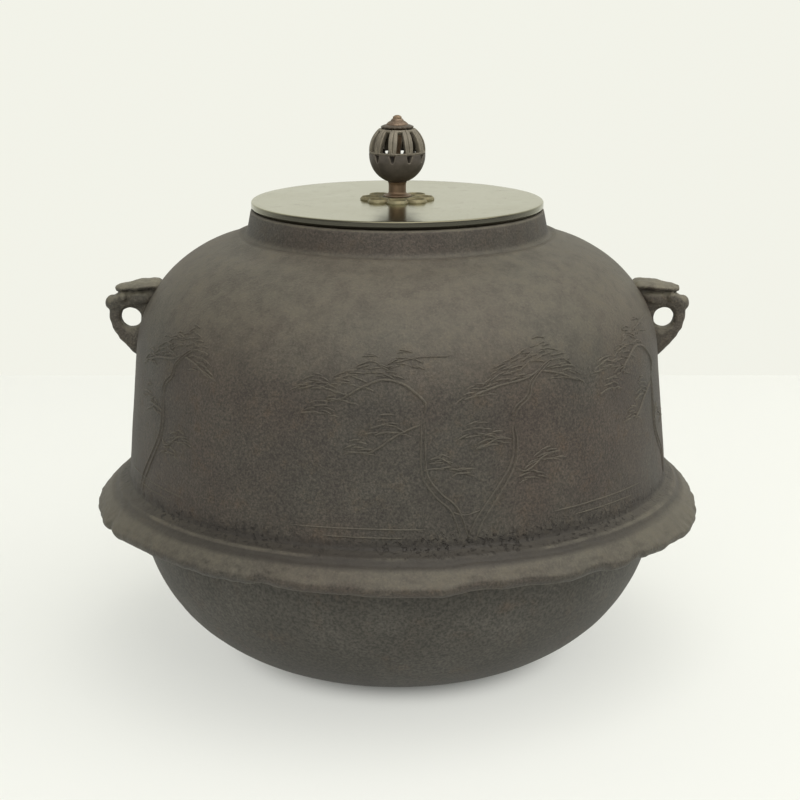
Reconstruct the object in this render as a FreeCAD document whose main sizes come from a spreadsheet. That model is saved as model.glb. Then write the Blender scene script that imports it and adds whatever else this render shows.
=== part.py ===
import FreeCAD, Part
import math
import operator
import os
from types import SimpleNamespace

import Sketcher
from FreeCAD import Vector

# A tea-ceremony kettle in cast iron: an upper casting with a ragged skirt, a bowl-shaped bottom
# pan bonded up inside it with lacquer, two ring lugs, and a flat bronze lid whose openwork knob
# is riveted loosely, so that it turns. Z is up, the origin is the middle of the base, and the
# lugs are on the X axis.

SIZES = {
    # upper casting: collar, shoulder and wall
    "rim_height": 198.0,
    "rim_width": 5.9,
    "rim_round": 0.8,
    "mouth_radius": 57.5,
    "collar_height": 11.2,
    "collar_spread": 2.0,
    "collar_fillet": 3.5,
    "shoulder_inset": 14.2,
    "shoulder_drop": 28.1,
    "wall_top_inset": 4.8,
    "wall_top_drop": 59.7,
    "wall_foot_radius": 118.6,
    "wall_foot_height": 83.0,
    "wall_thickness": 4.4,
    # skirt below the wall, with its worn edge
    "skirt_reach": 15.6,
    "skirt_drop": 13.2,
    "skirt_thickness": 5.0,
    "skirt_crown_radius": 40.0,
    "edge_wear": 1.9,
    "edge_wave": 1.0,
    "edge_nick": 0.7,
    # bottom pan and the lacquer that holds it
    "pan_bend_radius": 71.4,
    "pan_thickness": 4.5,
    "pan_rim_rise": 5.0,
    "joint_wall": 3.5,
    "lacquer_thickness": 0.5,
    "lacquer_bead": 3.0,
    "lacquer_hang": 2.1,
    # sounding plates on the floor of the pan
    "plate_length": 27.0,
    "plate_width": 15.0,
    "plate_taper": 3.0,
    "plate_thickness": 2.2,
    "plate_radius": 22.0,
    "bed_length": 15.0,
    "bed_width": 9.0,
    "bed_thickness": 0.8,
    # ring lugs, measured from the middle of the ring hole
    "lug_stand_off": 2.9,
    "lug_drop": 48.0,
    "lug_depth": 23.2,
    "lug_hole_radius": 4.6,
    "lug_hole_web": 0.8,
    "lug_loop_width": 7.0,
    "lug_loop_reach": 9.8,
    "lug_loop_rise": 2.0,
    "lug_loop_round": 1.6,
    "lug_tail_drop": 17.4,
    "lug_tail_inset": 2.8,
    "lug_cheek_width": 12.0,
    "lug_cheek_reach": 3.8,
    "lug_cheek_bend": 14.0,
    "lug_brow_top": 13.0,
    "lug_brow_under": 10.8,
    "lug_brow_undercut": 0.8,
    "lug_brow_rise": 5.6,
    "lug_brow_root": 13.2,
    "lug_brow_bend": 46.0,
    "lug_brow_reach": 6.8,
    "lug_brow_width": 19.0,
    "lug_nose_radius": 3.6,
    "lug_nose_reach": 7.8,
    "lug_nose_rise": 6.8,
    "lug_eye_radius": 2.3,
    "lug_eye_reach": 3.4,
    "lug_eye_rise": 9.6,
    "lug_eye_spread": 4.6,
    "tang_radius": 3.0,
    "tang_reach": 4.0,
    "tang_depth": 2.6,
    "tang_inset": 9.8,
    "tang_clearance": 0.1,
    # lid
    "lid_thickness": 3.6,
    "lid_inset": 0.4,
    "lid_edge": 0.7,
    "lip_clearance": 1.2,
    "lip_width": 2.6,
    "lip_depth": 5.0,
    # knob: flower washer, stem with its pin, ball in two halves, cap and tail washer
    "rosette_radius": 16.0,
    "rosette_thickness": 1.6,
    "rosette_petals": 8,
    "petal_radius": 4.7,
    "petal_eye_radius": 1.3,
    "shank_radius": 2.5,
    "shank_clearance": 0.05,
    "stem_height": 6.3,
    "stem_neck_radius": 3.8,
    "stem_foot_radius": 6.0,
    "stem_foot_height": 1.6,
    "stem_head_radius": 4.2,
    "pin_radius": 1.5,
    "pin_clearance": 0.05,
    "ball_radius": 12.1,
    "ball_band": 2.0,
    "ball_wall": 1.7,
    "ball_slots": 9,
    "slot_foot_width": 3.0,
    "slot_head_width": 1.9,
    "slot_land": 1.0,
    "slot_turn": 7.5,
    "groove_width": 0.7,
    "groove_depth": 0.5,
    "port_width": 2.4,
    "port_height": 3.2,
    "port_land": 1.0,
    "cap_radius": 7.0,
    "cap_inset": 0.5,
    "cap_bend": 5.0,
    "cap_rim": 0.7,
    "cap_rise": 2.4,
    "cap_tier_radius": 4.3,
    "cap_tier_rise": 1.5,
    "cap_top_radius": 2.4,
    "rivet_radius": 1.9,
    "rivet_height": 1.6,
    "washer_radius": 6.5,
    "washer_thickness": 1.2,
    "tail_radius": 4.0,
    "tail_height": 1.6,
    "knob_play": 0.15,
}

doc = FreeCAD.newDocument("tea_kettle")
sheet = doc.addObject("Spreadsheet::Sheet", "Sizes")
for row, (name, value) in enumerate(SIZES.items(), start=1):
    sheet.set(f"A{row}", name)
    sheet.set(f"B{row}", str(value))
    sheet.setAlias(f"B{row}", name)
doc.recompute()


class Size:
    """A number that keeps the sheet formula it comes from, so that features can be bound to it."""

    SIGNS = {"+": operator.add, "-": operator.sub, "*": operator.mul, "/": operator.truediv}

    def __init__(self, value, formula=None):
        self.value = float(value)
        self.formula = formula or f"({self.value!r})"

    def joined(self, other, sign, swap=False):
        other = other if isinstance(other, Size) else Size(other)
        left, right = (other, self) if swap else (self, other)
        value = Size.SIGNS[sign](left.value, right.value)
        return Size(value, f"({left.formula} {sign} {right.formula})")

    def __add__(self, other):
        return self.joined(other, "+")

    def __radd__(self, other):
        return self.joined(other, "+", swap=True)

    def __sub__(self, other):
        return self.joined(other, "-")

    def __rsub__(self, other):
        return self.joined(other, "-", swap=True)

    def __mul__(self, other):
        return self.joined(other, "*")

    def __rmul__(self, other):
        return self.joined(other, "*", swap=True)

    def __truediv__(self, other):
        return self.joined(other, "/")

    def __neg__(self):
        return Size(-self.value, f"(-{self.formula})")

    def root(self):
        return Size(math.sqrt(self.value), f"sqrt({self.formula})")


def sized(value):
    return value if isinstance(value, Size) else Size(value)


def half_chord(radius, offset):
    """Half the chord of a circle at a distance from its middle."""
    return (radius * radius - offset * offset).root()


class Bend:
    """An arc between two corners of an outline: tangent to the edge "before" or "after" it, or of a
    set radius, standing off to the "left" or "right" of the way round."""

    def __init__(self, tangent=None, radius=None, side=None):
        self.tangent = tangent
        self.radius = radius
        self.side = side


size = SimpleNamespace(**{name: Size(sheet.get(name), f"Sizes.{name}") for name in SIZES})


def bind(thing, **lengths):
    """Ties properties of a feature to sheet formulas; a double underscore stands for a dot."""
    for name, length in lengths.items():
        thing.setExpression(name.replace("__", "."), sized(length).formula)


def bind_constraint(sketch, kind, *ends, length):
    """Adds a measured constraint to a sketch and ties it to its formula."""
    index = sketch.addConstraint(Sketcher.Constraint(kind, *ends, length.value))
    sketch.setExpression(f"Constraints[{index}]", length.formula)


def point(corner):
    return Vector(sized(corner[0]).value, sized(corner[1]).value, 0)


def end_at(sketch, edge, target):
    """Which end of a sketch edge, 1 or 2, lies at a point."""
    return min((1, 2), key=lambda end: (sketch.getPoint(edge, end) - target).Length)


def pin_corner(sketch, edge, end, corner):
    """Holds a point of an edge at its two distances from the sketch's origin."""
    for kind, axis, length in zip(("DistanceX", "DistanceY"), (-2, -1), map(sized, corner)):
        if length.value == 0:
            sketch.addConstraint(Sketcher.Constraint("PointOnObject", edge, end, axis))
        elif length.value > 0:
            bind_constraint(sketch, kind, -1, 1, edge, end, length=length)
        else:
            bind_constraint(sketch, kind, edge, end, -1, 1, length=-length)


def new_body(label):
    body = doc.addObject("PartDesign::Body", label)
    body.Label = label
    return body


def origin_part(body, role):
    return next(part for part in body.Origin.OriginFeatures if part.Role == role)


def new_sketch(body, label, plane):
    sketch = body.newObject("Sketcher::SketchObject", label)
    sketch.AttachmentSupport = [(origin_part(body, plane), "")]
    sketch.MapMode = "FlatFace"
    return sketch


def outline(body, label, plane, steps):
    """A closed sketch through corners (across, up), with a Bend where an edge is an arc."""
    sketch = new_sketch(body, label, plane)
    corners = []
    bends = {}
    for step in steps:
        if isinstance(step, Bend):
            bends[len(corners) - 1] = step
        else:
            corners.append(step)
    count = len(corners)

    def half_turn(place):
        """How far the way round turns from an edge's start to the middle of the edge."""
        bend = bends.get(place)
        if bend is None:
            return 0
        if bend.tangent == "before":
            before = (place - 1) % count
            turn = heading(place) - heading(before) - half_turn(before)
        elif bend.tangent == "after":
            after = (place + 1) % count
            turn = heading(after) - half_turn(after) - heading(place)
        else:
            chord = point(corners[(place + 1) % count]) - point(corners[place])
            turn = math.asin(chord.Length / 2 / sized(bend.radius).value)
            turn = -turn if bend.side == "left" else turn
        return math.remainder(turn, 2 * math.pi)

    def heading(place):
        chord = point(corners[(place + 1) % count]) - point(corners[place])
        return math.atan2(chord.y, chord.x)

    edges = []
    for place, corner in enumerate(corners):
        start = point(corner)
        finish = point(corners[(place + 1) % count])
        if place in bends:
            chord = finish - start
            rise = math.tan(half_turn(place) / 2) / 2
            middle = (start + finish) * 0.5 + Vector(chord.y, -chord.x, 0) * rise
            shape = Part.Arc(start, middle, finish)
        else:
            shape = Part.LineSegment(start, finish)
        edge = sketch.addGeometry(shape)
        edges.append((edge, end_at(sketch, edge, start), end_at(sketch, edge, finish)))

    smooth = set()
    for place, bend in bends.items():
        if bend.tangent == "before":
            smooth.add(place)
        if bend.tangent == "after":
            smooth.add((place + 1) % count)
    for place, corner in enumerate(corners):
        edge, start_end, _ = edges[place]
        before, _, before_end = edges[place - 1]
        kind = "Tangent" if place in smooth else "Coincident"
        sketch.addConstraint(Sketcher.Constraint(kind, before, before_end, edge, start_end))
        pin_corner(sketch, edge, start_end, corner)
    for place, bend in bends.items():
        if bend.radius is not None:
            bind_constraint(sketch, "Radius", edges[place][0], length=sized(bend.radius))
    return sketch


def ring_sketch(body, label, middle, radius):
    """A level sketch of one circle."""
    sketch = new_sketch(body, label, "XY_Plane")
    edge = sketch.addGeometry(Part.Circle(point(middle), Vector(0, 0, 1), radius.value))
    pin_corner(sketch, edge, 3, middle)
    bind_constraint(sketch, "Radius", edge, length=radius)
    return sketch


def turned(label, steps):
    """A body of revolution about the upright axis, from its half section (radius, height)."""
    body = new_body(label)
    section = outline(body, f"{label}_section", "XZ_Plane", steps)
    turn = body.newObject("PartDesign::Revolution", f"{label}_turn")
    turn.Profile = section
    turn.ReferenceAxis = (section, ["V_Axis"])
    turn.Angle = 360
    doc.recompute()
    return body


def padded(body, sketch, length, both_ways=False):
    """Adds a sketch's outline to a body, to a length from the sketch's plane or about it."""
    pad = body.newObject("PartDesign::Pad", f"{sketch.Name}_pad")
    pad.Profile = sketch
    pad.SideType = "Symmetric" if both_ways else "One side"
    bind(pad, Length=length)
    doc.recompute()
    return pad


def pocketed(body, sketch, length, backwards=False, both_ways=False):
    """Cuts a sketch's outline out of a body."""
    volume = body.Shape.Volume
    pocket = body.newObject("PartDesign::Pocket", f"{sketch.Name}_cut")
    pocket.Profile = sketch
    pocket.Reversed = backwards
    pocket.SideType = "Symmetric" if both_ways else "One side"
    bind(pocket, Length=length)
    doc.recompute()
    if body.Shape.Volume >= volume:
        raise ValueError(f"{pocket.Name} cut nothing")
    return pocket


def repeated(body, feature, times):
    """Repeats a feature evenly round the upright axis."""
    around = body.newObject("PartDesign::PolarPattern", f"{feature.Name}_round")
    around.Originals = [feature]
    around.Axis = (origin_part(body, "Z_Axis"), [""])
    around.Angle = 360
    bind(around, Occurrences=times)
    body.Tip = around
    doc.recompute()
    return around


def rounded(body, chosen, radius):
    """Rounds the edges of a body that a test chooses."""
    base = body.Tip
    names = [f"Edge{number}" for number, edge in enumerate(base.Shape.Edges, start=1) if chosen(edge)]
    fillet = body.newObject("PartDesign::Fillet", f"{body.Name}_fillet")
    fillet.Base = (base, names)
    bind(fillet, Radius=radius)
    doc.recompute()
    return fillet


def level_edges(*places):
    """A test for the level circular edges of a turned body at (radius, height) places."""

    def chosen(edge):
        if not isinstance(edge.Curve, Part.Circle):
            return False
        found = Vector(edge.Curve.Radius, edge.Curve.Center.z, 0)
        return any((found - point(place)).Length < 0.01 for place in places)

    return chosen


def solid_from(kind, label, **properties):
    """A primitive or boolean of the document, with its properties set or bound."""
    made = doc.addObject(kind, label)
    made.Label = label
    for name, value in properties.items():
        if isinstance(value, Size):
            bind(made, **{name: value})
        else:
            setattr(made, name, value)
    return made


def placed(thing, x=0, y=0, z=0, axis=Vector(0, 0, 1), angle=0):
    """Puts a piece at a place that is bound to the sheet, turned about an axis."""
    thing.Placement = FreeCAD.Placement(Vector(0, 0, 0), FreeCAD.Rotation(axis, angle))
    bind(thing, Placement__Base__x=x, Placement__Base__y=y, Placement__Base__z=z)
    return thing


def mirrored(label, source):
    """The same piece on the other side of the kettle."""
    return solid_from(
        "Part::Mirroring", label, Source=source, Base=Vector(0, 0, 0), Normal=Vector(1, 0, 0)
    )


# Levels and radii that several pieces share
rim_radius = size.mouth_radius + size.rim_width
wall_top_radius = size.wall_foot_radius - size.wall_top_inset
collar_foot_radius = rim_radius + size.collar_spread
shoulder_radius = wall_top_radius - size.shoulder_inset
collar_foot = size.rim_height - size.collar_height
shoulder_height = size.rim_height - size.shoulder_drop
wall_top = size.rim_height - size.wall_top_drop
wall_lean = size.wall_top_inset / (wall_top - size.wall_foot_height)

pan_rim_height = size.wall_foot_height + size.pan_rim_rise
pan_rim_radius = size.wall_foot_radius - size.joint_wall - size.lacquer_thickness
pan_flat_radius = pan_rim_radius - size.pan_bend_radius
seat_radius = pan_rim_radius + size.lacquer_thickness
seat_height = pan_rim_height + size.lacquer_thickness
seat_wall = size.wall_foot_radius - wall_lean * (seat_height - size.wall_foot_height)
ledge_radius = seat_wall - size.wall_thickness

skirt_length = (size.skirt_reach * size.skirt_reach + size.skirt_drop * size.skirt_drop).root()
skirt_slope = size.skirt_drop / size.skirt_reach
skirt_tip = (size.wall_foot_radius + size.skirt_reach, size.wall_foot_height - size.skirt_drop)
skirt_under = (
    skirt_tip[0] - size.skirt_thickness * size.skirt_drop / skirt_length,
    skirt_tip[1] - size.skirt_thickness * size.skirt_reach / skirt_length,
)
skirt_root = skirt_under[1] + (skirt_under[0] - seat_radius) * skirt_slope

lid_under = size.rim_height
lid_top = lid_under + size.lid_thickness
rosette_top = lid_top + size.rosette_thickness
shank_hole = size.shank_radius + size.shank_clearance
pin_hole = size.pin_radius + size.pin_clearance

ball_foot = rosette_top + size.stem_height
ball_inside = size.ball_radius - size.ball_wall
lower_middle = ball_foot + half_chord(size.ball_radius, size.stem_head_radius)
ball_seam = lower_middle + size.ball_band / 2
upper_middle = lower_middle + size.ball_band
cap_seat = upper_middle + half_chord(size.ball_radius, size.cap_radius + size.cap_inset)
cap_tier = cap_seat + size.cap_rise
cap_top = cap_tier + size.cap_tier_rise


# The outside of the upper casting, from the rim down to the foot of the wall
def casting_outside():
    return [
        (rim_radius, size.rim_height),
        (collar_foot_radius, collar_foot),
        Bend(tangent="after"),
        (shoulder_radius, shoulder_height),
        Bend(tangent="after"),
        (wall_top_radius, wall_top),
        (size.wall_foot_radius, size.wall_foot_height),
    ]


# Upper casting, open below for the pan, before its edge is worn and its lug sockets are cut
def upper_casting():
    # one wall thickness in, on a slope of three across to four down
    inner_shoulder = (
        shoulder_radius - size.wall_thickness * 3 / 5,
        shoulder_height - size.wall_thickness * 4 / 5,
    )
    casting = turned(
        "upper_casting",
        casting_outside()
        + [
            Bend(radius=size.skirt_crown_radius, side="left"),
            skirt_tip,
            skirt_under,
            (seat_radius, skirt_root),
            (seat_radius, seat_height),
            (ledge_radius, seat_height),
            (wall_top_radius - size.wall_thickness, wall_top),
            Bend(tangent="before"),
            inner_shoulder,
            Bend(tangent="before"),
            (size.mouth_radius, collar_foot - size.wall_thickness),
            (size.mouth_radius, size.rim_height),
        ],
    )
    rounded(casting, level_edges((collar_foot_radius, collar_foot)), size.collar_fillet)
    rim = level_edges((rim_radius, size.rim_height), (size.mouth_radius, size.rim_height))
    rounded(casting, rim, size.rim_round)
    return casting


# Space beyond the worn edge of the skirt: the edge runs unevenly round the kettle, so the space
# is a ring between curves that wander up and down the skirt's slope
def skirt_wear():
    along = Vector(size.skirt_reach.value, 0, -size.skirt_drop.value).normalize()
    across = Vector(-along.z, 0, along.x)
    tip = Vector(skirt_tip[0].value, 0, skirt_tip[1].value)
    above = size.skirt_thickness.value
    below = 2 * size.skirt_thickness.value
    beyond = 3 * size.edge_wear.value + size.skirt_thickness.value
    waves, wave_start = 5, 0.6
    nicks, nick_start = 11, 2.2
    samples = 120

    def ring(down, out):
        points = []
        for sample in range(samples):
            angle = 2 * math.pi * sample / samples
            worn = size.edge_wear.value
            worn += size.edge_wave.value * math.sin(waves * angle + wave_start)
            worn += size.edge_nick.value * math.sin(nicks * angle + nick_start)
            spot = tip + along * (down - worn) + across * out
            points.append(Vector(spot.x * math.cos(angle), spot.x * math.sin(angle), spot.z))
        curve = Part.BSplineCurve()
        curve.interpolate(points, PeriodicFlag=True)
        return curve.toShape()

    rings = [ring(0, -below), ring(0, above), ring(beyond, above), ring(beyond, -below)]
    sides = [Part.makeRuledSurface(rings[side], rings[side - 1]) for side in range(len(rings))]
    solid = Part.Solid(Part.Shell([face for side in sides for face in side.Faces]))
    if solid.Volume < 0:
        solid.reverse()
    wear = doc.addObject("Part::Feature", "skirt_wear")
    wear.Shape = solid
    return wear


# Bottom pan: a flat base and one wide bend up to an upright rim
def bottom_pan():
    inner_rim = pan_rim_radius - size.pan_thickness
    return turned(
        "bottom_pan",
        [
            (0, 0),
            (pan_flat_radius, 0),
            Bend(tangent="before"),
            (pan_rim_radius, size.pan_bend_radius),
            (pan_rim_radius, pan_rim_height),
            (inner_rim, pan_rim_height),
            (inner_rim, size.pan_bend_radius),
            Bend(tangent="before"),
            (pan_flat_radius, size.pan_thickness),
            (0, size.pan_thickness),
        ],
    )


# Lacquer putty between the pan's rim and its seat, squeezed out below in a bead under the skirt
def pan_joint_lacquer():
    bead_side = skirt_root - size.lacquer_bead * skirt_slope
    return turned(
        "pan_joint_lacquer",
        [
            (pan_rim_radius, bead_side - size.lacquer_hang),
            (seat_radius + size.lacquer_bead, bead_side),
            (seat_radius, skirt_root),
            (seat_radius, seat_height),
            (ledge_radius, seat_height),
            (ledge_radius, pan_rim_height),
            (pan_rim_radius, pan_rim_height),
        ],
    )


# The filled outside of the wall, which the backs of the lugs are fitted to
def wall_filling():
    return turned(
        "wall_filling",
        casting_outside() + [(0, size.wall_foot_height), (0, size.rim_height)],
    )


# The lugs are drawn on the +X side, with lengths from the middle of the ring hole
def from_hole(x, z):
    return (wall_top_radius + size.lug_stand_off + x, size.rim_height - size.lug_drop + z)


# How high the loop and the cheeks reach up into the brow
brow_key = size.lug_brow_under + (size.lug_brow_top - size.lug_brow_under) / 3


# Loop of the lug, from under the brow, round outside the ring hole, down to a tail on the wall
def lug_loop():
    body = new_body("lug_loop")
    side = outline(
        body,
        "lug_loop_side",
        "XZ_Plane",
        [
            from_hole(-size.lug_depth, brow_key),
            from_hole(size.lug_cheek_reach, brow_key),
            from_hole(size.lug_nose_reach, size.lug_brow_under),
            from_hole(size.lug_loop_reach, size.lug_loop_rise),
            Bend(tangent="before"),
            from_hole(-size.lug_tail_inset, -size.lug_tail_drop),
            from_hole(-size.lug_depth, 0),
        ],
    )
    padded(body, side, size.lug_loop_width, both_ways=True)
    free_x = from_hole(-size.lug_hole_radius, 0)[0].value
    free_z = from_hole(0, brow_key)[1].value

    def free_edges(edge):
        outside = all(vertex.X > free_x and vertex.Z < free_z - 0.01 for vertex in edge.Vertexes)
        along_face = abs(edge.Vertexes[0].Y - edge.Vertexes[-1].Y) < 0.01
        return outside and along_face

    rounded(body, free_edges, size.lug_loop_round)
    return body


# Cheeks of the mask, under the brow and behind the ring hole's upper edge
def lug_cheeks():
    body = new_body("lug_cheeks")
    cheek_low = size.lug_hole_radius + size.lug_hole_web
    side = outline(
        body,
        "lug_cheek_side",
        "XZ_Plane",
        [
            from_hole(-size.lug_depth, brow_key),
            from_hole(size.lug_cheek_reach, brow_key),
            Bend(radius=size.lug_cheek_bend, side="left"),
            from_hole(0, cheek_low),
            from_hole(-size.lug_depth, cheek_low),
        ],
    )
    padded(body, side, size.lug_cheek_width, both_ways=True)
    return body


# Brow: a crest that runs out from the shoulder, cut both to its side view and to its plan
def lug_brow():
    side_body = new_body("lug_brow_side")
    root_rise = size.lug_brow_top + size.lug_brow_rise
    side = outline(
        side_body,
        "lug_brow_profile",
        "XZ_Plane",
        [
            from_hole(-size.lug_depth, root_rise),
            from_hole(-size.lug_brow_root, root_rise),
            Bend(radius=size.lug_brow_bend, side="left"),
            from_hole(size.lug_brow_reach, size.lug_brow_top),
            from_hole(size.lug_brow_reach - size.lug_brow_undercut, size.lug_brow_under),
            from_hole(-size.lug_depth, size.lug_brow_under),
        ],
    )
    padded(side_body, side, 2 * size.lug_brow_width, both_ways=True)

    plan_body = new_body("lug_brow_plan")
    half_width = size.lug_brow_width / 2
    middle_x = from_hole(0, 0)[0]
    plan = outline(
        plan_body,
        "lug_brow_outline",
        "XY_Plane",
        [
            (middle_x - size.lug_depth, -half_width),
            (middle_x, -half_width),
            Bend(tangent="before"),
            (middle_x, half_width),
            (middle_x - size.lug_depth, half_width),
        ],
    )
    padded(plan_body, plan, size.rim_height)
    return solid_from("Part::Common", "lug_brow", Base=side_body, Tool=plan_body)


def lug_knob(label, radius, reach, rise, across=0):
    """A round boss of the mask, such as its nose or an eye."""
    boss = solid_from("Part::Sphere", label, Radius=radius)
    x, z = from_hole(reach, rise)
    return placed(boss, x=x, y=across, z=z)


# Round tang behind the brow, which is keyed into a socket in the wall
def lug_tang(label, clearance):
    x, z = from_hole(-size.tang_inset - size.tang_depth - clearance, size.lug_brow_under)
    tang = solid_from(
        "Part::Cylinder",
        label,
        Radius=size.tang_radius + clearance,
        Height=size.tang_depth + size.tang_reach + clearance,
    )
    return placed(tang, x=x, z=z, axis=Vector(0, 1, 0), angle=90)


def right_lug():
    bosses = [lug_knob("lug_nose", size.lug_nose_radius, size.lug_nose_reach, size.lug_nose_rise)]
    for side in (-1, 1):
        across = side * size.lug_eye_spread
        eye = lug_knob("lug_eye", size.lug_eye_radius, size.lug_eye_reach, size.lug_eye_rise, across)
        bosses.append(eye)
    mask = solid_from("Part::MultiFuse", "lug_mask", Shapes=[lug_loop(), lug_cheeks(), lug_brow()])
    for boss in bosses:
        mask = solid_from("Part::Fuse", f"lug_mask_{boss.Name}", Base=mask, Tool=boss)

    hole_x, hole_z = from_hole(0, 0)
    hole = solid_from(
        "Part::Cylinder",
        "lug_ring_hole",
        Radius=size.lug_hole_radius,
        Height=2 * size.lug_brow_width,
    )
    placed(hole, x=hole_x, y=size.lug_brow_width, z=hole_z, axis=Vector(1, 0, 0), angle=90)
    bored = solid_from("Part::Cut", "lug_bored", Base=mask, Tool=hole)
    fitted = solid_from("Part::Cut", "lug_fitted", Base=bored, Tool=wall_filling())
    lug = solid_from("Part::Fuse", "right_lug", Base=fitted, Tool=lug_tang("lug_tang", 0))
    doc.recompute()
    return lug


def kettle_body():
    worn = solid_from("Part::Cut", "worn_casting", Base=upper_casting(), Tool=skirt_wear())
    right_socket = lug_tang("right_lug_socket", size.tang_clearance)
    left_socket = mirrored("left_lug_socket", right_socket)
    sockets = solid_from("Part::MultiFuse", "lug_sockets", Shapes=[right_socket, left_socket])
    body = solid_from("Part::Cut", "kettle_body", Base=worn, Tool=sockets)
    doc.recompute()
    return body


# The three places of the sounding plates on the floor of the pan, in degrees round the axis
PLATE_TURNS = (90, 210, 330)


def floor_slab(label, length, width, low, thickness, turn):
    """A slab on the pan's floor, narrower and bowed at its outer side."""
    body = new_body(label)
    inner = size.plate_radius - width / 2
    outer = size.plate_radius + width / 2
    outer_half = (length - size.plate_taper) / 2
    slab = outline(
        body,
        f"{label}_outline",
        "XY_Plane",
        [
            (inner, -length / 2),
            (outer, -outer_half),
            Bend(radius=length, side="right"),
            (outer, outer_half),
            (inner, length / 2),
        ],
    )
    padded(body, slab, thickness)
    return placed(body, z=low, angle=turn)


# Sounding plates, thin iron slips that stand on lacquer beds and sing as the water boils
def sounding_plates():
    low = size.pan_thickness + size.bed_thickness
    plates = []
    for number, turn in enumerate(PLATE_TURNS, start=1):
        label = f"sounding_plate_{number}"
        plate = floor_slab(
            label, size.plate_length, size.plate_width, low, size.plate_thickness, turn
        )
        plates.append(plate)
    return plates


# Putty beds of the plates, pressed down to the floor of the pan
def plate_lacquer(pan):
    low = size.pan_thickness / 2
    depth = low + size.bed_thickness
    beds = []
    for number, turn in enumerate(PLATE_TURNS, start=1):
        label = f"lacquer_bed_{number}"
        slab = floor_slab(f"{label}_slab", size.bed_length, size.bed_width, low, depth, turn)
        beds.append(solid_from("Part::Cut", label, Base=slab, Tool=pan))
    return solid_from("Part::Compound", "plate_lacquer", Links=beds)


# Lid: a flat plate with softened edges, a locating lip that drops into the mouth, and a bore for
# the knob's shank
def lid():
    edge_radius = rim_radius - size.lid_inset
    lip_outside = size.mouth_radius - size.lip_clearance
    lip_inside = lip_outside - size.lip_width
    lip_foot = lid_under - size.lip_depth
    return turned(
        "lid",
        [
            (shank_hole, lid_top),
            (edge_radius - size.lid_edge, lid_top),
            Bend(tangent="before"),
            (edge_radius, lid_top - size.lid_edge),
            (edge_radius - size.lid_edge / 2, lid_under),
            (lip_outside, lid_under),
            (lip_outside - size.lip_width / 4, lip_foot),
            (lip_inside, lip_foot),
            (lip_inside, lid_under),
            (shank_hole, lid_under),
        ],
    )


# Flower washer under the knob: a disc with round petals, each pierced by a small eye
def knob_rosette():
    body = new_body("knob_rosette")
    petal_middle = size.rosette_radius - size.petal_radius
    disc = ring_sketch(body, "rosette_disc", (0, 0), petal_middle)
    padded(body, disc, size.rosette_thickness)
    petal = ring_sketch(body, "rosette_petal", (petal_middle, 0), size.petal_radius)
    repeated(body, padded(body, petal, size.rosette_thickness), size.rosette_petals)
    eye = ring_sketch(body, "rosette_eye", (petal_middle, 0), size.petal_eye_radius)
    eye_cut = pocketed(body, eye, size.rosette_thickness, backwards=True)
    repeated(body, eye_cut, size.rosette_petals)
    bore = ring_sketch(body, "rosette_bore", (0, 0), shank_hole)
    pocketed(body, bore, size.rosette_thickness, backwards=True)
    return placed(body, z=lid_top)


# Stem: peened tail, shank through the lid, waisted neck, and the thin pin that strings the ball
# and its cap and is riveted over on top
def knob_stem():
    tail_top = lid_under - size.knob_play - size.washer_thickness
    tail_low = tail_top - size.tail_height
    foot_top = rosette_top + size.stem_foot_height
    rivet_top = cap_top + size.rivet_height
    dome_rise = size.rivet_height / 2
    dome_radius = (size.rivet_radius * size.rivet_radius + dome_rise * dome_rise) / (2 * dome_rise)
    return turned(
        "knob_stem",
        [
            (0, tail_low),
            (size.tail_radius - size.tail_height / 2, tail_low),
            Bend(tangent="before"),
            (size.tail_radius, tail_top),
            (size.shank_radius, tail_top),
            (size.shank_radius, rosette_top),
            (size.stem_foot_radius, rosette_top),
            (size.stem_foot_radius, rosette_top + size.stem_foot_height / 3),
            Bend(tangent="after"),
            (size.stem_neck_radius, foot_top),
            (size.stem_neck_radius, ball_foot - size.stem_foot_height),
            (size.stem_head_radius, ball_foot),
            (size.pin_radius, ball_foot),
            (size.pin_radius, cap_top),
            (size.rivet_radius, cap_top),
            (size.rivet_radius, rivet_top - dome_rise),
            Bend(radius=dome_radius, side="right"),
            (0, rivet_top),
        ],
    )


# Washer under the lid, which the tail of the shank is peened over
def stem_washer():
    washer_top = lid_under - size.knob_play
    return turned(
        "stem_washer",
        [
            (shank_hole, washer_top),
            (size.washer_radius, washer_top),
            (size.washer_radius, washer_top - size.washer_thickness),
            (shank_hole, washer_top - size.washer_thickness),
        ],
    )


# Lower half of the hollow ball: a cup that stands on the stem's head, with short ports below the
# seam, one under each rib of the upper half
def knob_ball_lower():
    body = turned(
        "knob_ball_lower",
        [
            (pin_hole, ball_foot),
            (size.stem_head_radius, ball_foot),
            Bend(radius=size.ball_radius, side="right"),
            (size.ball_radius, lower_middle),
            (size.ball_radius, ball_seam),
            (ball_inside, ball_seam),
            (ball_inside, lower_middle),
            Bend(radius=ball_inside, side="left"),
            (pin_hole, lower_middle - half_chord(ball_inside, pin_hole)),
        ],
    )
    half = size.port_width / 2
    port_top = ball_seam - size.port_land
    port = outline(
        body,
        "ball_port",
        "XZ_Plane",
        [
            (-half, port_top),
            (half, port_top),
            (half, port_top - size.port_height + half),
            Bend(tangent="before"),
            (-half, port_top - size.port_height + half),
        ],
    )
    repeated(body, pocketed(body, port, size.ball_radius + size.ball_wall, backwards=True), size.ball_slots)
    return placed(body, angle=size.slot_turn.value + 180 / size.ball_slots.value)


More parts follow.
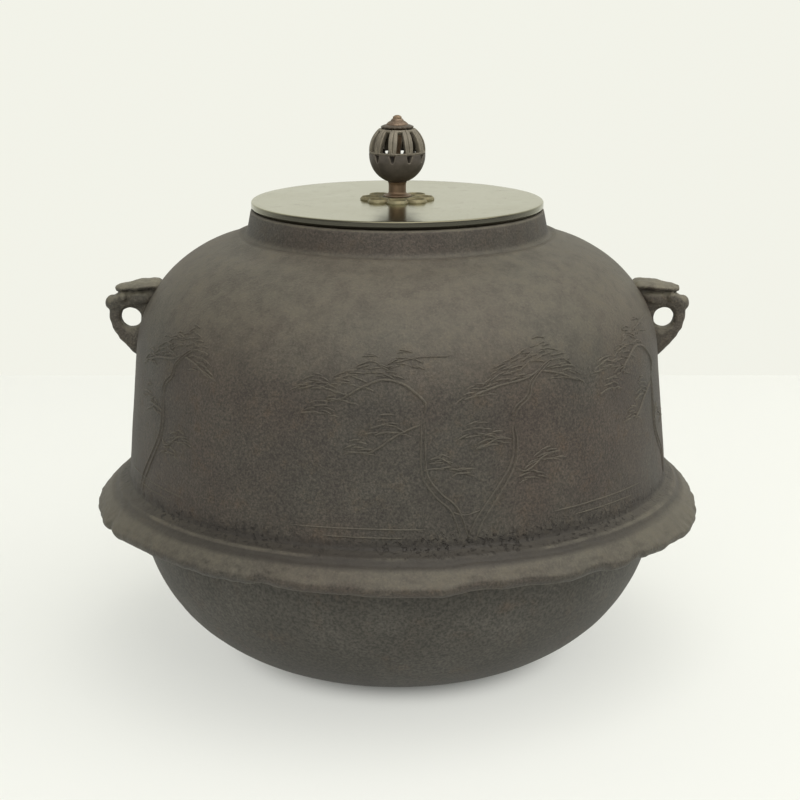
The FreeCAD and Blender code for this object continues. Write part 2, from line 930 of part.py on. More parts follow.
# Upper half: a cage with long slots, and a groove down the middle of each rib between them
def knob_ball_upper():
    crown = size.cap_radius + size.cap_inset
    crown_inside = half_chord(ball_inside, cap_seat - upper_middle)
    body = turned(
        "knob_ball_upper",
        [
            (size.ball_radius, ball_seam),
            (size.ball_radius, upper_middle),
            Bend(radius=size.ball_radius, side="right"),
            (crown, cap_seat),
            (crown_inside, cap_seat),
            Bend(radius=ball_inside, side="left"),
            (ball_inside, upper_middle),
            (ball_inside, ball_seam),
        ],
    )
    slot_low = ball_seam + size.slot_land
    slot_high = cap_seat - size.slot_land
    slot = outline(
        body,
        "ball_slot",
        "XZ_Plane",
        [
            (-size.slot_foot_width / 2, slot_low),
            (size.slot_foot_width / 2, slot_low),
            (size.slot_head_width / 2, slot_high),
            (-size.slot_head_width / 2, slot_high),
        ],
    )
    repeated(body, pocketed(body, slot, size.ball_radius + size.ball_wall, backwards=True), size.ball_slots)

    groove_floor = size.ball_radius - size.groove_depth
    groove_edge = size.ball_radius + size.ball_wall
    groove_rise = cap_seat - upper_middle
    groove = outline(
        body,
        "rib_groove",
        "YZ_Plane",
        [
            (groove_floor, upper_middle),
            (groove_edge, upper_middle),
            Bend(radius=groove_edge, side="right"),
            (half_chord(groove_edge, groove_rise), cap_seat),
            (half_chord(groove_floor, groove_rise), cap_seat),
            Bend(radius=groove_floor, side="left"),
        ],
    )
    repeated(body, pocketed(body, groove, size.groove_width, both_ways=True), size.ball_slots)
    return placed(body, angle=size.slot_turn.value)


# Cap: a stepped cone over the top of the cage
def knob_cap():
    return turned(
        "knob_cap",
        [
            (pin_hole, cap_seat),
            (size.cap_radius, cap_seat),
            (size.cap_radius, cap_seat + size.cap_rim),
            Bend(radius=size.cap_bend, side="right"),
            (size.cap_tier_radius + size.cap_inset, cap_tier),
            (size.cap_tier_radius, cap_tier),
            (size.cap_top_radius, cap_top),
            (pin_hole, cap_top),
        ],
    )


lug = right_lug()
pan = bottom_pan()
pieces = [
    kettle_body(),
    pan,
    pan_joint_lacquer(),
    mirrored("left_lug", lug),
    lug,
    *sounding_plates(),
    plate_lacquer(pan),
    lid(),
    knob_rosette(),
    knob_stem(),
    stem_washer(),
    knob_ball_lower(),
    knob_ball_upper(),
    knob_cap(),
]
doc.recompute()

for thing in doc.Objects:
    if "Invalid" in thing.State or "Error" in thing.State:
        raise ValueError(f"{thing.Label} did not build: {thing.State}")
    if thing.isDerivedFrom("Part::Feature") and thing.Shape.Solids and not thing.Shape.isValid():
        raise ValueError(f"{thing.Label} has no valid shape")
for piece in pieces:
    if not piece.Shape.Solids:
        raise ValueError(f"{piece.Label} has no solid")

os.makedirs("parts", exist_ok=True)
for piece in pieces:
    piece.Shape.exportStep(f"parts/{piece.Label}.step")
    solids = len(piece.Shape.Solids)
    print(f"{piece.Label}: {solids} solid, {piece.Shape.Volume / 1000:.2f} cm3")
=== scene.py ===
import math
import random
from functools import partial

import bmesh
import bpy
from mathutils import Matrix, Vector, noise


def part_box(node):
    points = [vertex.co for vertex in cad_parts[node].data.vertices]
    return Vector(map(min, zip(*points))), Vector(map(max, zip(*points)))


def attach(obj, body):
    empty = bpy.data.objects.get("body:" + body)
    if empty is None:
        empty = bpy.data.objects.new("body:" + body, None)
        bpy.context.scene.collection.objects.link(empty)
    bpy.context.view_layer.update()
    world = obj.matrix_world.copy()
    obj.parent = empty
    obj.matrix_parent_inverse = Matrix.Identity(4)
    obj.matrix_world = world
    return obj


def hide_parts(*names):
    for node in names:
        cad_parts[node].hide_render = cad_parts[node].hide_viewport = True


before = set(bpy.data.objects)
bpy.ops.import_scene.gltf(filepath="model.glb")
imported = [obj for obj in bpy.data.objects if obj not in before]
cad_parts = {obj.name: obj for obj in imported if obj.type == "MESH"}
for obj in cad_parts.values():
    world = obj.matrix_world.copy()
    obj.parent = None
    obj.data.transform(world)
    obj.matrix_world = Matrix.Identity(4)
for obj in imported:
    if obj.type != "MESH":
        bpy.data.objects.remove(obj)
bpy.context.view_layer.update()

# Upper casting: the kettle's collar, shoulder and wall in one piece of grey iron, cast in a loam
# mould swept with a board. Its skirt is the stub of an older bottom, broken back to a ragged edge.
# Sizes here and below are in millimetres, with heights from the table and radii from the axis.
MM = 0.001
TURN = 2 * math.pi
FRONT = -TURN / 4

rim_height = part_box("kettle_body")[1][2] / MM
mouth_radius = 57.5
rim_radius = 63.4
rim_round = 1.2
collar_top = (64.9, rim_height - 8.6)
collar_foot = (68.0, rim_height - 11.5)
shoulder = (99.6, rim_height - 28.1)
wall_top = (113.8, rim_height - 59.7)
wall_foot = (118.6, 83.0)
skirt_crown = (132.9, 70.9)
skirt_tip = (134.2, 69.8)
skirt_under = (131.1, 66.1)
skirt_root = (115.1, 79.4)
seat_height = 88.5
ledge_radius = 113.7
inner_wall_top = (109.4, wall_top[1])
inner_shoulder = (97.0, 166.4)
mouth_foot = (mouth_radius, 182.4)


def section(*corners):
    """Points round a closed half section. A corner is its radius, its height, the rows to the next
    corner and, where that stretch is round, the radius of its arc: plus bows to the left of the way,
    minus to the right."""
    points = []
    for corner, following in zip(corners, corners[1:] + corners[:1]):
        start, end, rows = Vector(corner[:2]), Vector(following[:2]), corner[2]
        bow = corner[3] if len(corner) > 3 else None
        along = (end - start).normalized()
        left = Vector((-along.y, along.x))
        for row in range(rows):
            if bow is None:
                points.append(start.lerp(end, row / rows))
                continue
            half_turn = math.asin((end - start).length / 2 / abs(bow))
            angle = half_turn * (2 * row / rows - 1)
            out = left * (math.cos(angle) - math.cos(half_turn)) * bow
            points.append((start + end) / 2 + along * math.sin(angle) * abs(bow) + out)
    return points


def in_scene(name, data):
    """A new object of the scene, made from a mesh, a lamp or a camera."""
    made = bpy.data.objects.new(name, data)
    bpy.context.collection.objects.link(made)
    return made


def new_piece(name, vertices, faces, sharp=40):
    """A smooth piece from vertices in millimetres, with creases over an angle in degrees."""
    mesh = bpy.data.meshes.new(name)
    mesh.from_pydata([tuple(c * MM for c in vertex) for vertex in vertices], [], faces)
    tidy = bmesh.new()
    tidy.from_mesh(mesh)
    bmesh.ops.recalc_face_normals(tidy, faces=tidy.faces)
    tidy.to_mesh(mesh)
    tidy.free()
    mesh.shade_smooth()
    mesh.set_sharp_from_angle(angle=math.radians(sharp))
    return in_scene(name, mesh)


def polar(radius, angle, height=0.0):
    """A place at a radius and an angle round the axis, and at a height."""
    return radius * math.cos(angle), radius * math.sin(angle), height


def ring_faces(rows, columns):
    """Faces of a ring whose rows go round the axis, with the last row joined to the first."""
    faces = []
    for row in range(rows):
        below = (row + 1) % rows
        for column in range(columns):
            beside = (column + 1) % columns
            faces.append((row * columns + column, row * columns + beside,
                          below * columns + beside, below * columns + column))
    return faces


def lathe(name, points, columns, shape=None, sharp=40):
    """Turns a closed half section about the axis; shape moves a point at an angle and a row."""
    vertices = []
    for row, (radius, height) in enumerate(points):
        for column in range(columns):
            angle = TURN * column / columns
            r, z = shape(radius, height, angle, row) if shape else (radius, height)
            vertices.append(polar(r, angle, z))
    return new_piece(name, vertices, ring_faces(len(points), columns), sharp)


outside_corners = (
    (mouth_radius, rim_height - rim_round, 3, rim_round),
    (mouth_radius + rim_round, rim_height, 3),
    (rim_radius - rim_round, rim_height, 3, rim_round),
    (rim_radius, rim_height - rim_round, 6),
    (*collar_top, 5, -3.5),
    (*collar_foot, 28, 55.1),
    (*shoulder, 22, 52.6),
    (*wall_top, 32),
    (*wall_foot, 26, 40.0),
    (*skirt_crown, 7, 2.7),
)
inside_corners = (
    (*skirt_under, 6),
    (*skirt_root, 2),
    (skirt_root[0], seat_height, 1),
    (ledge_radius, seat_height, 8),
    (*inner_wall_top, 8, -47.3),
    (*inner_shoulder, 8, -50.2),
    (*mouth_foot, 4),
)
casting_section = section(*outside_corners, *inside_corners)
rim_rows = sum(corner[2] for corner in outside_corners[:3])
crown_rows = outside_corners[-1][2]
outside_rows = sum(corner[2] for corner in outside_corners)
skirt_slope = (Vector(wall_foot) - Vector(skirt_tip)).normalized()
# the broken edge: its wear; its waves by count, height and start; its chips by height and fineness;
# and larger bites by place in degrees, depth and half width
edge_wear, least_wear = 1.9, 0.1
edge_waves = ((5, 1.0, 0.6), (11, 0.7, 2.2))
edge_chips = ((0.8, 9), (0.4, 26))
edge_bites = (
    (203, 2.6, 1.4), (212, 1.6, 7.0), (246, 2.8, 11.0), (246, 1.2, 2.0), (268, 2.6, 12.0),
    (283, 1.9, 4.0), (288, 1.4, 8.0), (307, 2.0, 5.0), (318, 1.4, 2.2), (62, 2.4, 1.8),
    (88, 2.2, 12.0), (121, 1.8, 3.2),
)
# rings left by the sweep board, by place, height and half width: two out from the collar's foot, and
# a bead and a groove on the skirt's face, at shares of its fall
collar_rings = ((1.2, 0.95, 3.0), (9.0, -0.3, 3.5))
collar_rings_start, collar_rings_end = collar_foot[0] - 2, 94.0
skirt_rings = ((0.22, 0.42, 0.07), (0.38, -0.5, 0.08))
skirt_out = Vector((0.65, 0.76))
pit_middle, pit_half, pit_width, pit_depth = 86.0, 6.0, 2.2, 1.2
# unevenness of the skin and of the broken edge: height and width of its waves
casting_waves = ((0.3, 38), (0.12, 11))
break_waves = ((0.35, 3.2),)


def held(value):
    """A value held between 0 and 1."""
    return min(1.0, max(0.0, value))


def bell(value, place, rise, half):
    """A rounded swell of a rise at a place, which fades out over its half width."""
    return rise * math.exp(-(((value - place) / half) ** 2))


def uneven(spot, waves):
    """Unevenness at a spot, from waves of a height and a width."""
    return sum(rise * noise.noise(spot / width) for rise, width in waves)


def worn_back(angle):
    """How far the broken edge lies back up the skirt."""
    ring = Vector(polar(1, angle))
    worn = edge_wear + sum(rise * math.sin(count * angle + start) for count, rise, start in edge_waves)
    worn += sum(rise * noise.noise(ring * fineness) for rise, fineness in edge_chips)
    for place, depth, half in edge_bites:
        off = (math.degrees(angle) - place + 180) % 360 - 180
        worn += bell(off, 0, depth, half)
    return max(worn, least_wear)


def cast_shape(radius, height, angle, row):
    """The unevenness of the casting: slow swells, rings of the sweep board, pits and worn edge."""
    spot = Vector(polar(radius, angle, height))
    if row < outside_rows:
        radius += uneven(spot, casting_waves) * held((radius - rim_radius) / 4)
        if collar_rings_start < radius < collar_rings_end:
            lift = sum(bell(radius - collar_foot[0], *ring) for ring in collar_rings)
            height += lift * held((radius - collar_rings_start) / 2)
        fall = (wall_foot[1] - height) / (wall_foot[1] - skirt_crown[1])
        lift = skirt_out * sum(bell(fall, *ring) for ring in skirt_rings)
        radius, height = radius + lift.x, height + lift.y
        pitted = max(0.0, 1 - abs(height - pit_middle) / pit_half)
        radius -= pit_depth * pitted * max(0.0, noise.noise(spot / pit_width) - 0.2)
    reach = (radius - skirt_root[0]) / (skirt_crown[0] - skirt_root[0])
    if height < wall_foot[1] and reach > 0:
        back = skirt_slope * worn_back(angle) * min(1.0, reach) ** 2
        rough = uneven(spot, break_waves) * min(1.0, reach) ** 4
        radius += back.x + rough
        height += back.y + rough
    return radius, height


kettle_body = lathe("cast_kettle_body", casting_section, 560, cast_shape, sharp=70)


class Tone:
    """A shader socket of one material. Arithmetic on it adds Math nodes, and node() any other."""

    def __init__(self, tree, socket):
        self.tree = tree
        self.socket = socket

    def node(self, kind, settings=None, inputs=None, output=0):
        made = self.tree.nodes.new(kind)
        for name, value in (settings or {}).items():
            setattr(made, name, value)
        for name, value in (inputs or {}).items():
            if isinstance(value, Tone):
                self.tree.links.new(value.socket, made.inputs[name])
            else:
                made.inputs[name].default_value = value
        return Tone(self.tree, made.outputs[output])

    def math(self, operation, other, swap=False):
        pair = (other, self) if swap else (self, other)
        return self.node("ShaderNodeMath", {"operation": operation}, dict(enumerate(pair)))

    def __add__(self, other):
        return self.math("ADD", other)

    def __radd__(self, other):
        return self.math("ADD", other, swap=True)

    def __sub__(self, other):
        return self.math("SUBTRACT", other)

    def __rsub__(self, other):
        return self.math("SUBTRACT", other, swap=True)

    def __mul__(self, other):
        return self.math("MULTIPLY", other)

    def __rmul__(self, other):
        return self.math("MULTIPLY", other, swap=True)

    def between(self, low, high):
        """0 below low, 1 above high, and smooth between them."""
        inputs = {"Value": self, "From Min": low, "From Max": high}
        return self.node("ShaderNodeMapRange", {"interpolation_type": "SMOOTHSTEP"}, inputs)

    def within(self, start, full, ease, end):
        """1 from full to ease, and 0 below start and above end, all in millimetres."""
        return self.between(start * MM, full * MM) * self.between(end * MM, ease * MM)

    def mix(self, first, second):
        """From a first colour, where this is 0, to a second. A Mix node takes colours at its sockets
        6 and 7, and gives one at 2."""
        inputs = {0: self, 6: first, 7: second}
        return self.node("ShaderNodeMix", {"data_type": "RGBA"}, inputs, output=2)

    def times(self, other):
        """This colour, multiplied by another."""
        settings = {"data_type": "RGBA", "blend_type": "MULTIPLY"}
        return self.node("ShaderNodeMix", settings, {0: 1.0, 6: self, 7: other}, output=2)

    def grain(self, width, detail=4.0, roughness=0.55):
        """Noise with marks about so many millimetres wide, over these coordinates."""
        inputs = {"Vector": self, "Scale": 1 / (width * MM), "Detail": detail, "Roughness": roughness}
        return self.node("ShaderNodeTexNoise", None, inputs)

    def part(self, axis):
        """One number of a vector."""
        return self.node("ShaderNodeSeparateXYZ", None, {0: self}, output=axis)


def new_finish(name):
    """A new material, and the object coordinates that its patterns follow."""
    material = bpy.data.materials.new(name)
    material.use_nodes = True
    blank = Tone(material.node_tree, None)
    return material, blank.node("ShaderNodeTexCoord", output="Object")


def surface(material, coordinates, colour, roughness, relief=None, depth=0.1, **constants):
    """Sets a material's shader: what varies is linked, and what is the same all over is set."""
    shader = material.node_tree.nodes["Principled BSDF"]
    links = {"Base Color": colour, "Roughness": roughness}
    if relief is not None:
        bump = {"Height": relief, "Distance": depth * MM, "Strength": 1.0}
        links["Normal"] = coordinates.node("ShaderNodeBump", None, bump)
    for name, value in links.items():
        if isinstance(value, Tone):
            material.node_tree.links.new(value.socket, shader.inputs[name])
        else:
            shader.inputs[name].default_value = value
    for name, value in constants.items():
        shader.inputs[name.replace("_", " ")].default_value = value


def grey(level):
    """A plain grey, to darken or lighten a colour by."""
    return (level, level, level, 1.0)


def scaled(tone, red, green, blue):
    """A colour with its red, green and blue multiplied."""
    return (tone[0] * red, tone[1] * green, tone[2] * blue, 1.0)


def iron_finish(name, skin, bloom, rust, pitted, wear_and_light=0.5):
    """Old lacquered iron: sandy skin, paler bloom, rusty patches, dust and a painted top light on what
    faces up, edges paler from rubbing and a painted highlight, painted shade in the hollows and,
    where pitted, the skirt's dark pits with painted shade in them and its painted bands of shade and
    light."""
    material, coordinates = new_finish(name)
    patches = coordinates.grain(14, 5.0, 0.62).between(0.36, 0.7)
    stains = coordinates.grain(7, 6.0, 0.7).between(0.5, 0.72)
    sand = coordinates.grain(1.1, 4.0, 0.7)
    specks = coordinates.grain(0.8, 2.0)
    colour = (patches * 0.7).mix(skin, bloom)
    colour = (stains * 0.5).mix(colour, rust)
    dark = scaled(skin, 0.5, 0.5, 0.5)
    pale = scaled(bloom, 2.05, 2.1, 1.9)
    colour = colour.times(sand.between(0.28, 0.72).mix(grey(0.6), grey(1.4)))
    colour = colour.times(specks.between(0.3, 0.7).mix(grey(0.72), (1.28, 1.26, 1.22, 1.0)))
    hue = coordinates.grain(70, 2.0).between(0.38, 0.62)
    colour = colour.times(hue.mix((1.05, 0.985, 0.95, 1.0), (0.96, 1.01, 1.0, 1.0)))
    edges = coordinates.node("ShaderNodeNewGeometry", output="Pointiness")
    upward = coordinates.node("ShaderNodeNewGeometry", output="Normal").part("Z").between(0.02, 0.72)
    patchy = 0.6 + coordinates.grain(7, 6.0, 0.7).between(0.3, 0.7) * 0.8
    # dust and painted top light: what faces up is made paler, in patches
    dust_and_top_light = upward * patchy * min(0.47, wear_and_light)
    # the pale mix also takes the edges, paler from rubbing and from a painted highlight
    colour = (dust_and_top_light + edges.between(0.515, 0.58) * wear_and_light).mix(colour, pale)
    # painted shade: hollows and creases are darkened
    colour = (edges.between(0.49, 0.43) * 0.6).mix(colour, dark)
    relief = sand + specks * 0.35 + coordinates.grain(5, 4.0) * 0.8
    if pitted:
        height = coordinates.part("Z")
        band = height.within(80.0, 82.5, 84.5, 92.5)
        more = 0.35 + coordinates.grain(45, 2.0).between(0.42, 0.6) * 0.65
        pits = coordinates.grain(1.9, 3.0, 0.6).between(0.55, 0.66) * band * more
        # painted shade: the flare under the wall is darkened, more at the front, with a lit line left
        # along the bead
        flare_shade = height.within(76.6, 78.5, 83.5, 88.5)
        bead_breaks = coordinates.grain(30, 3.0).between(0.38, 0.55)
        bead_lit = height.within(80.0, 80.5, 81.1, 81.6) * bead_breaks
        front = coordinates.part("Y").between(-50 * MM, -110 * MM)
        colour = (flare_shade * (0.4 + front * 0.32 - bead_lit * 0.5)).mix(colour, dark)
        # painted light: the upward-facing crown of the skirt is made paler, less at the front
        crown_light = height.within(66.0, 70.0, 76.6, 79.0)
        colour = (crown_light * (0.34 - front * 0.34)).mix(colour, pale)
        # painted shade in the pits, which are also sunk in the bump
        colour = (pits * 0.85).mix(colour, dark)
        relief = relief - pits * 2.0
    roughness = 0.5 + sand * 0.2 + stains * 0.08
    surface(material, coordinates, colour, roughness, relief, depth=0.3, Specular_IOR_Level=0.4)
    return material


iron_skin = (0.0455, 0.0383, 0.0325, 1.0)
iron_bloom = (0.0625, 0.0552, 0.046, 1.0)
iron_rust = (0.06, 0.0425, 0.029, 1.0)
cast_iron = iron_finish("cast_iron_skin", iron_skin, iron_bloom, iron_rust, pitted=True)
kettle_body.data.materials.append(cast_iron)
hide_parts("kettle_body")
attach(kettle_body, "kettle")

# Pine grove in relief on the wall: raised lines pressed into the mould, so they stand on the
# casting as low ridges. Places are arc lengths from the front, to the right, and heights.
wall_radius = wall_foot[0] - 3.5
ridge_root = 0.3
outside_points = casting_section[rim_rows:outside_rows - crown_rows]
random.seed(11)


def wall_at(height):
    """Radius and outward slope of the wall at a height."""
    for upper, lower in zip(outside_points, outside_points[1:]):
        if lower.y <= height <= upper.y:
            share = (upper.y - height) / (upper.y - lower.y)
            run = (lower - upper).normalized()
            return upper.x + (lower.x - upper.x) * share, Vector((-run.y, run.x))
    return outside_points[-1].x, Vector((1, 0))


def on_wall(across, height):
    """A point of the wall, and the way out of it."""
    angle = FRONT + across / wall_radius
    radius, slope = wall_at(height)
    radius, _ = cast_shape(radius, height, angle, 0)
    outward = Vector(polar(1, angle))
    return outward * radius + Vector((0, 0, height)), outward * slope.x + Vector((0, 0, slope.y))


def smooth_run(stops, pitch):
    """Points about a pitch apart along a smooth line through stops."""
    points = []
    padded = [stops[0], *stops, stops[-1]]
    for before, start, end, after in zip(padded, padded[1:], padded[2:], padded[3:]):
        before, start, end, after = (Vector(stop) for stop in (before, start, end, after))
        steps = max(1, round((end - start).length / pitch))
        for step in range(steps):
            t = step / steps
            bend = (before * -1 + start * 3 - end * 3 + after) * t ** 3
            bend += (before * 2 - start * 5 + end * 4 - after) * t ** 2
            points.append((bend + (end - before) * t) / 2 + start)
    return points + [Vector(stops[-1])]


ridge_vertices, ridge_faces = [], []


def ridge(stops, width, rise, pitch=1.3):
    """One raised line along stops on the wall, tapered at both ends and rooted in the iron."""
    run = smooth_run(stops, pitch)
    profile = ((-0.5, -ridge_root), (-0.3, 0.75), (0.0, 1.0), (0.3, 0.75), (0.5, -ridge_root))
    first = len(ridge_vertices)
    places = [on_wall(*spot) for spot in run]
    for step, (place, outward) in enumerate(places):
        ahead = places[min(step + 1, len(places) - 1)][0] - places[max(step - 1, 0)][0]
        side = outward.cross(ahead).normalized()
        taper = max(0.12, min(1.0, 2.6 * math.sin(math.pi * (step + 0.15) / (len(places) - 0.7))))
        for across, up in profile:
            lift = up * rise * taper if up > 0 else up
            ridge_vertices.append(place + side * across * width * taper + outward * lift)
    count, last = len(profile), len(ridge_vertices)
    sides = ring_faces(len(places), count)[:-count]
    ridge_faces.extend(tuple(first + corner for corner in face) for face in sides)
    ridge_faces.append(tuple(range(first, first + count)))
    ridge_faces.append(tuple(range(last - count, last)))


def trunk(stops, width=2.4, line=1.05, rise=0.45):
    """A trunk or bough drawn as two lines that run side by side."""
    run = [Vector(stop) for stop in stops]
    for side in (-0.5, 0.5):
        line_stops = []
        for step, spot in enumerate(run):
            way = (run[min(step + 1, len(run) - 1)] - run[max(step - 1, 0)]).normalized()
            thin = 1 - 0.6 * step / (len(run) - 1)
            line_stops.append(spot + Vector((-way.y, way.x)) * side * width * thin)
        ridge(line_stops, line, rise)


tier_rise, tier_taper, tier_droop = 2.3, 0.28, 0.08
needle_pitch, needle_fan, needle_reach = 1.5, 0.32, (1.9, 3.2)
needle_width, needle_rise, needle_bow = 0.95, 0.44, Vector((0, 0.25))


def needles(across, height, spread, tiers, lean=0.0):
    """A flat cushion of needles: short strokes in tiers that droop to its two ends."""
    for tier in range(tiers):
        half = spread / 2 * (1 - tier_taper * tier)
        count = max(2, round(half / needle_pitch))
        for stroke in range(count):
            off = half * (2 * (stroke + random.uniform(0.2, 0.8)) / count - 1)
            share = off / max(half, 1)
            droop = tier_droop * spread * share ** 2
            rise = tier * tier_rise - droop + lean * off + random.uniform(-0.6, 0.6)
            middle = Vector((across + off, height + rise))
            tilt = lean - needle_fan * share + random.uniform(-0.22, 0.22)
            reach = Vector((math.cos(tilt), math.sin(tilt))) * random.uniform(*needle_reach)
            stops = [middle - reach, middle + needle_bow, middle + reach]
            ridge(stops, needle_width, needle_rise, pitch=1.6)


def moved(place, flip, *stops):
    """Stops of a drawing, moved along the wall and turned over where flip is -1."""
    return [(place + flip * across, height) for across, height in stops]


def left_pine(place=0.0, flip=1):
    """The pine that bends over to the left."""
    at = partial(moved, place, flip)
    trunk(at((26, 86), (22, 98), (16, 104), (11, 111), (10, 118), (10, 126), (10, 134)), width=3.0)
    bent_top = at((10, 134), (11, 140), (6, 145), (1, 148), (-6, 149), (-14, 146), (-19, 143), (-24, 140))
    ridge(bent_top, 1.3, 0.65)
    ridge(at((9, 132), (0, 128), (-7, 123), (-13, 120)), 1.1, 0.55)
    ridge(at((-2, 155), (9, 157), (22, 157)), 0.9, 0.5)
    ridge(at((12, 118), (16, 119), (21, 116)), 0.9, 0.5)
    for across, height, spread, tiers in (
        (-10, 151, 24, 4), (3, 154, 16, 3), (-19, 147, 18, 3), (-32, 145, 20, 3), (-30, 136, 14, 3),
        (-4, 129, 16, 4), (-15, 121, 12, 3), (-22, 141, 12, 2), (17, 115, 12, 3), (26, 112, 10, 2),
    ):
        needles(place + flip * across, height, spread, tiers)


def right_pine(place=0.0, flip=1):
    """The taller pine that bends to the right."""
    at = partial(moved, place, flip)
    trunk(at((28, 86), (32, 94), (37, 101), (42, 108), (46, 115), (47, 123), (46, 131)), width=3.2)
    trunk(at((46, 131), (48, 136), (53, 140), (55, 145), (61, 150), (67, 153)), width=1.8, line=0.8)
    ridge(at((29, 142), (40, 145), (53, 147), (60, 150)), 1.2, 0.6)
    ridge(at((60, 149), (69, 147), (78, 143)), 1.1, 0.55)
    ridge(at((46, 124), (40, 125), (35, 123), (30, 121)), 1.0, 0.5)
    ridge(at((47, 113), (50, 111), (54, 112), (60, 116), (67, 117)), 1.0, 0.5)
    for across, height, spread, tiers, lean in (
        (43, 147, 24, 4, 0.2), (52, 152, 18, 3, 0.2), (62, 154, 22, 4, 0.12), (73, 145, 16, 4, -0.15),
        (31, 127, 14, 3, 0.0), (38, 123, 14, 3, 0.05), (60, 114, 18, 3, 0.1), (54, 108, 12, 2, 0.0),
        (31, 142, 14, 3, 0.15), (70, 150, 14, 2, -0.05),
    ):
        needles(place + flip * across, height, spread, tiers, flip * lean)


def shore(start, end, height):
    """A waterline, with a shorter one below it."""
    ridge([(start, height), ((start + end) / 2, height + 0.3), (end, height)], 0.9, 0.34, pitch=2.5)
    ridge([(start + 12, height - 3), (end - 9, height - 3.2)], 0.8, 0.3, pitch=2.5)


half_round = wall_radius * math.pi
left_pine()
right_pine()
shore(-41, 12, 91)
ridge([(21, 97.5), (26, 96), (32, 97.5)], 0.9, 0.35)
right_pine(-160)
left_pine(128)
shore(62, 118, 93)
left_pine(half_round - 20, flip=-1)
right_pine(half_round + 28)
shore(half_round - 90, half_round - 30, 91)
shore(-150, -92, 92)
pine_relief = new_piece("pine_relief", ridge_vertices, ridge_faces, sharp=80)
relief_iron = iron_finish("relief_iron", iron_skin, iron_bloom, iron_rust, pitted=False, wear_and_light=0.2)
pine_relief.data.materials.append(relief_iron)
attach(pine_relief, "kettle")

# Ring lugs: two beast masks in cast iron, keyed into the wall. Each has a crest that runs out from
# the shoulder over bulging eyes, a round snout, and a thick ear below, pierced for the lifting ring.
# Places are reach out from the hole's middle, across, and rise over it.
hole_middle = Vector((116.7, 0, 150.0))
hole_radius = 4.6
ear_half, cheek_half = 3.5, 5.2
# fullness of the ear from its hole to its outline: share of the way, share of the thickness
ear_fullness = ((0.0, 0.72), (0.22, 0.97), (0.7, 1.0), (0.93, 0.85), (1.0, 0.6))
# swellings of the mask: place, radius and stretch
snout = ((7.8, 0, 6.3), 3.45, (1, 1.15, 1))
eye = ((2.6, 4.6, 9.6), 2.1, (1, 1, 1))
cheek = ((-5.0, 4.2, 9.4), 2.9, (1.9, 1, 1))
crest_steps = 14
crest_root, crest_length, crest_rise = -14.5, 20.8, 15.2
crest_half_thick, crest_half_wide = 2.1, 8.9
lug_voxel = 0.42
lug_waves = ((0.22, 2.4),)
lug_skin = (0.058, 0.051, 0.042, 1.0)
lug_bloom = (0.095, 0.086, 0.069, 1.0)
ear_outline = (
    (4.8, 11.0), (7.6, 9.4), (9.2, 6.6), (9.4, 2.9), (9.5, 0.0), (8.0, -4.8), (5.1, -9.5), (1.4, -13.5),
    (-2.2, -17.2), (-4.6, -17.0), (-6.8, -10.0), (-8.6, 0.0), (-10.6, 8.0), (-13.6, 13.0), (-4.0, 13.8),
)


def ear_edge(way):
    """Distance from the hole's middle to the ear's outline, in a direction."""
    best = hole_radius + 1
    for start, end in zip(ear_outline, ear_outline[1:] + ear_outline[:1]):
        start, run = Vector(start), Vector(end) - Vector(start)
        across = way.cross(run)
        if abs(across) < 1e-9:
            continue
        along, share = start.cross(run) / across, start.cross(way) / across
        if along > 0 and -1e-6 <= share <= 1 + 1e-6:
            best = max(best, along)
    return best


def bridge(bm, rings):
    """Faces between each ring of vertices and the next."""
    for ring, following in zip(rings, rings[1:]):
        for step, corner in enumerate(ring):
            beside = (step + 1) % len(ring)
            bm.faces.new((corner, ring[beside], following[beside], following[step]))


def pierced_ear(bm, steps=72):
    """The ear: a plate with a round hole, fuller in its middle than at its edges, and at the cheeks."""
    rings = []
    for share, full in ear_fullness:
        for side in (-1, 1):
            ring = []
            for step in range(steps):
                way = Vector((math.cos(TURN * step / steps), math.sin(TURN * step / steps)))
                spot = way * (hole_radius + (ear_edge(way) - hole_radius) * share)
                half = ear_half + (cheek_half - ear_half) * held((spot.y - 3) / 5)
                place = hole_middle + Vector((spot.x, side * half * full, spot.y))
                ring.append(bm.verts.new(place * MM))
            rings.append(ring)
    near, far = rings[0::2], rings[1::2]
    bridge(bm, near + far[::-1] + near[:1])


def swelling(bm, stations, sides=20):
    """A closed form through stations: place (reach, rise), half thickness and half width."""
    rings = []
    spots = [Vector((reach, 0, rise)) for reach, rise, _, _ in stations]
    for step, (_, _, thick, wide) in enumerate(stations):
        way = (spots[min(step + 1, len(spots) - 1)] - spots[max(step - 1, 0)]).normalized()
        normal = Vector((-way.z, 0, way.x))
        ring = []
        for side in range(sides):
            angle = TURN * side / sides
            offset = normal * thick * math.cos(angle) + Vector((0, wide * math.sin(angle), 0))
            ring.append(bm.verts.new((hole_middle + spots[step] + offset) * MM))
        rings.append(ring)
    bridge(bm, rings)
    bm.faces.new(rings[0])
    bm.faces.new(rings[-1])


def boss(bm, place, radius, stretch, side=1):
    """A round swelling of the mask, on one side of it or the other."""
    reach, across, rise = place
    made = bmesh.ops.create_uvsphere(bm, u_segments=24, v_segments=16, radius=radius * MM)
    for vertex in made["verts"]:
        vertex.co = Vector(c * s for c, s in zip(vertex.co, stretch))
        vertex.co += (hole_middle + Vector((reach, side * across, rise))) * MM


